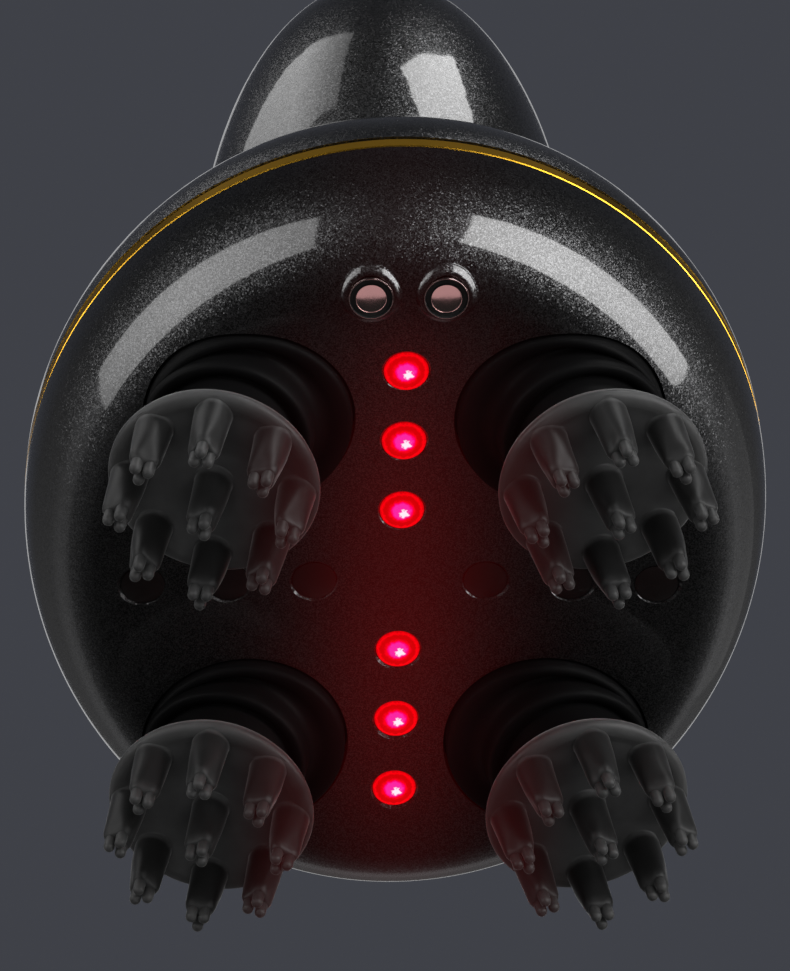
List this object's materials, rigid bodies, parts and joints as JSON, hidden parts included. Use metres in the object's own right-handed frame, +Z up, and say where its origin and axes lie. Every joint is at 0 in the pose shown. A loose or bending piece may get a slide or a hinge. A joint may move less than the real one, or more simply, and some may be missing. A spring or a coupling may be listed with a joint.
{
  "type": "scalp massager",
  "caption": "Cordless scalp massager: oval base with tilting soft massage heads under a leaning egg-shaped grip, face lights, charging contacts and a power button.",
  "frame": {"origin": "on the ground under the middle of the oval base, level with the lowest tips of the massage heads", "axes": "+Z up, from the massage heads to the grip; -Y towards the side with the charging contacts, over which the grip leans; +X across the base, its short way"},
  "size_m": [0.101, 0.116, 0.1314],
  "materials": {
    "housing_black": "fine leather grain, black",
    "gloss_black": "polished black",
    "gold_trim": "satin gold plating",
    "gasket_rubber": "matte",
    "smoky_silicone": "translucent dark silicone",
    "boot_silicone": "satin black silicone",
    "engineering_plastic": "moulded acetal",
    "stem_plastic": "moulded, dark grey",
    "steel": "ground",
    "zinc_screws": "zinc plated",
    "motor_steel": "drawn can",
    "brass_gear": "hobbed",
    "board_green": "circuit board, solder mask",
    "chip_black": "moulded",
    "led_white": "light emitting diode package",
    "red_lens": "clear red, lit",
    "dark_lens": "dark tinted",
    "contact_metal": "polished plating",
    "cell_wrap": "shrink wrap"
  },
  "bodies": {
    "housing": {"base_plate_screws": "zinc_screws", "battery_cell": "cell_wrap", "battery_holder": "engineering_plastic", "board_components": "chip_black", "board_screws": "zinc_screws", "boot_clamp_rings": "stem_plastic", "button_bezel": "gold_trim", "button_spring": "gasket_rubber", "contact_pins": "contact_metal", "contact_seals": "gasket_rubber", "gearbox_base_plate": "engineering_plastic", "gearbox_mid_plate": "engineering_plastic", "gearbox_screws": "zinc_screws", "housing_gasket": "gasket_rubber", "layshaft_pin": "steel", "leds": "led_white", "light_board": "board_green", "lower_housing": "housing_black", "main_board": "board_green", "main_board_screws": "zinc_screws", "motor_can": "motor_steel", "motor_end_cap": "chip_black", "motor_plate": "engineering_plastic", "motor_screws": "zinc_screws", "red_lenses": "red_lens", "seal_boot_1": "boot_silicone", "seal_boot_2": "boot_silicone", "seal_boot_3": "boot_silicone", "seal_boot_4": "boot_silicone", "side_lenses": "dark_lens", "sun_pin": "steel", "switch_board": "board_green", "tact_switch": "chip_black", "trim_ring": "gold_trim", "upper_housing": "gloss_black"},
    "crank_1": {"crank_gear_1": "engineering_plastic", "crank_pin_1": "steel", "stem_screw_1": "zinc_screws"},
    "head_1": {"head_stem_1": "stem_plastic", "massage_head_1": "smoky_silicone"},
    "crank_2": {"crank_gear_2": "engineering_plastic", "crank_pin_2": "steel", "stem_screw_2": "zinc_screws"},
    "head_2": {"head_stem_2": "stem_plastic", "massage_head_2": "smoky_silicone"},
    "crank_3": {"crank_gear_3": "engineering_plastic", "crank_pin_3": "steel", "stem_screw_3": "zinc_screws"},
    "head_3": {"head_stem_3": "stem_plastic", "massage_head_3": "smoky_silicone"},
    "crank_4": {"crank_gear_4": "engineering_plastic", "crank_pin_4": "steel", "stem_screw_4": "zinc_screws"},
    "head_4": {"head_stem_4": "stem_plastic", "massage_head_4": "smoky_silicone"},
    "sun": {"sun_gear": "engineering_plastic"},
    "compound": {"compound_gear": "engineering_plastic"},
    "rotor": {"motor_shaft": "steel", "motor_pinion": "brass_gear"},
    "button": {"power_button": "gloss_black"}
  },
  "joints": [
    {"name": "crank_1_spin", "type": "hinge", "parent": "housing", "child": "crank_1", "pos_m": [0.0206, -0.02673, 0.04042], "axis": [0, 0, 1], "continuous": true, "deforming": ["seal_boot_1"]},
    {"name": "crank_2_spin", "type": "hinge", "parent": "housing", "child": "crank_2", "pos_m": [0.0206, 0.02673, 0.04042], "axis": [0, 0, 1], "continuous": true, "deforming": ["seal_boot_2"]},
    {"name": "crank_3_spin", "type": "hinge", "parent": "housing", "child": "crank_3", "pos_m": [-0.0206, 0.02673, 0.04042], "axis": [0, 0, 1], "continuous": true, "deforming": ["seal_boot_3"]},
    {"name": "crank_4_spin", "type": "hinge", "parent": "housing", "child": "crank_4", "pos_m": [-0.0206, -0.02673, 0.04042], "axis": [0, 0, 1], "continuous": true, "deforming": ["seal_boot_4"]},
    {"name": "head_1_turn", "type": "hinge", "parent": "crank_1", "child": "head_1", "pos_m": [0.0206, -0.02673, 0.04042], "axis": [-0.1736, 0, 0.9848], "continuous": true},
    {"name": "head_2_turn", "type": "hinge", "parent": "crank_2", "child": "head_2", "pos_m": [0.0206, 0.02673, 0.04042], "axis": [-0.1736, 0, 0.9848], "continuous": true},
    {"name": "head_3_turn", "type": "hinge", "parent": "crank_3", "child": "head_3", "pos_m": [-0.0206, 0.02673, 0.04042], "axis": [0.1736, 0, 0.9848], "continuous": true},
    {"name": "head_4_turn", "type": "hinge", "parent": "crank_4", "child": "head_4", "pos_m": [-0.0206, -0.02673, 0.04042], "axis": [0.1736, 0, 0.9848], "continuous": true},
    {"name": "sun_spin", "type": "hinge", "parent": "housing", "child": "sun", "pos_m": [0, 0, 0.04042], "axis": [0, 0, 1], "continuous": true},
    {"name": "compound_spin", "type": "hinge", "parent": "housing", "child": "compound", "pos_m": [0, 0.0252, 0.04042], "axis": [0, 0, 1], "continuous": true},
    {"name": "motor_spin", "type": "hinge", "parent": "housing", "child": "rotor", "pos_m": [0, 0, 0.04892], "axis": [0, 0, 1], "continuous": true},
    {"name": "button_press", "type": "slide", "parent": "housing", "child": "button", "axis": [0, -0.7743, -0.6328], "range_m": [0, 0.0008], "stiffness_N_per_m": 1500, "springref_m": -0.0012, "deforming": ["button_spring"]}
  ],
  "couplings": [
    {"joint": "crank_2_spin", "follows": "crank_1_spin", "ratio": 1},
    {"joint": "crank_3_spin", "follows": "crank_1_spin", "ratio": 1},
    {"joint": "crank_4_spin", "follows": "crank_1_spin", "ratio": 1},
    {"joint": "head_1_turn", "follows": "crank_1_spin", "ratio": -1},
    {"joint": "head_2_turn", "follows": "crank_1_spin", "ratio": -1},
    {"joint": "head_3_turn", "follows": "crank_1_spin", "ratio": -1},
    {"joint": "head_4_turn", "follows": "crank_1_spin", "ratio": -1},
    {"joint": "sun_spin", "follows": "crank_1_spin", "ratio": -0.66667},
    {"joint": "compound_spin", "follows": "crank_1_spin", "ratio": 2.7273},
    {"joint": "motor_spin", "follows": "crank_1_spin", "ratio": -16.364}
  ]
}
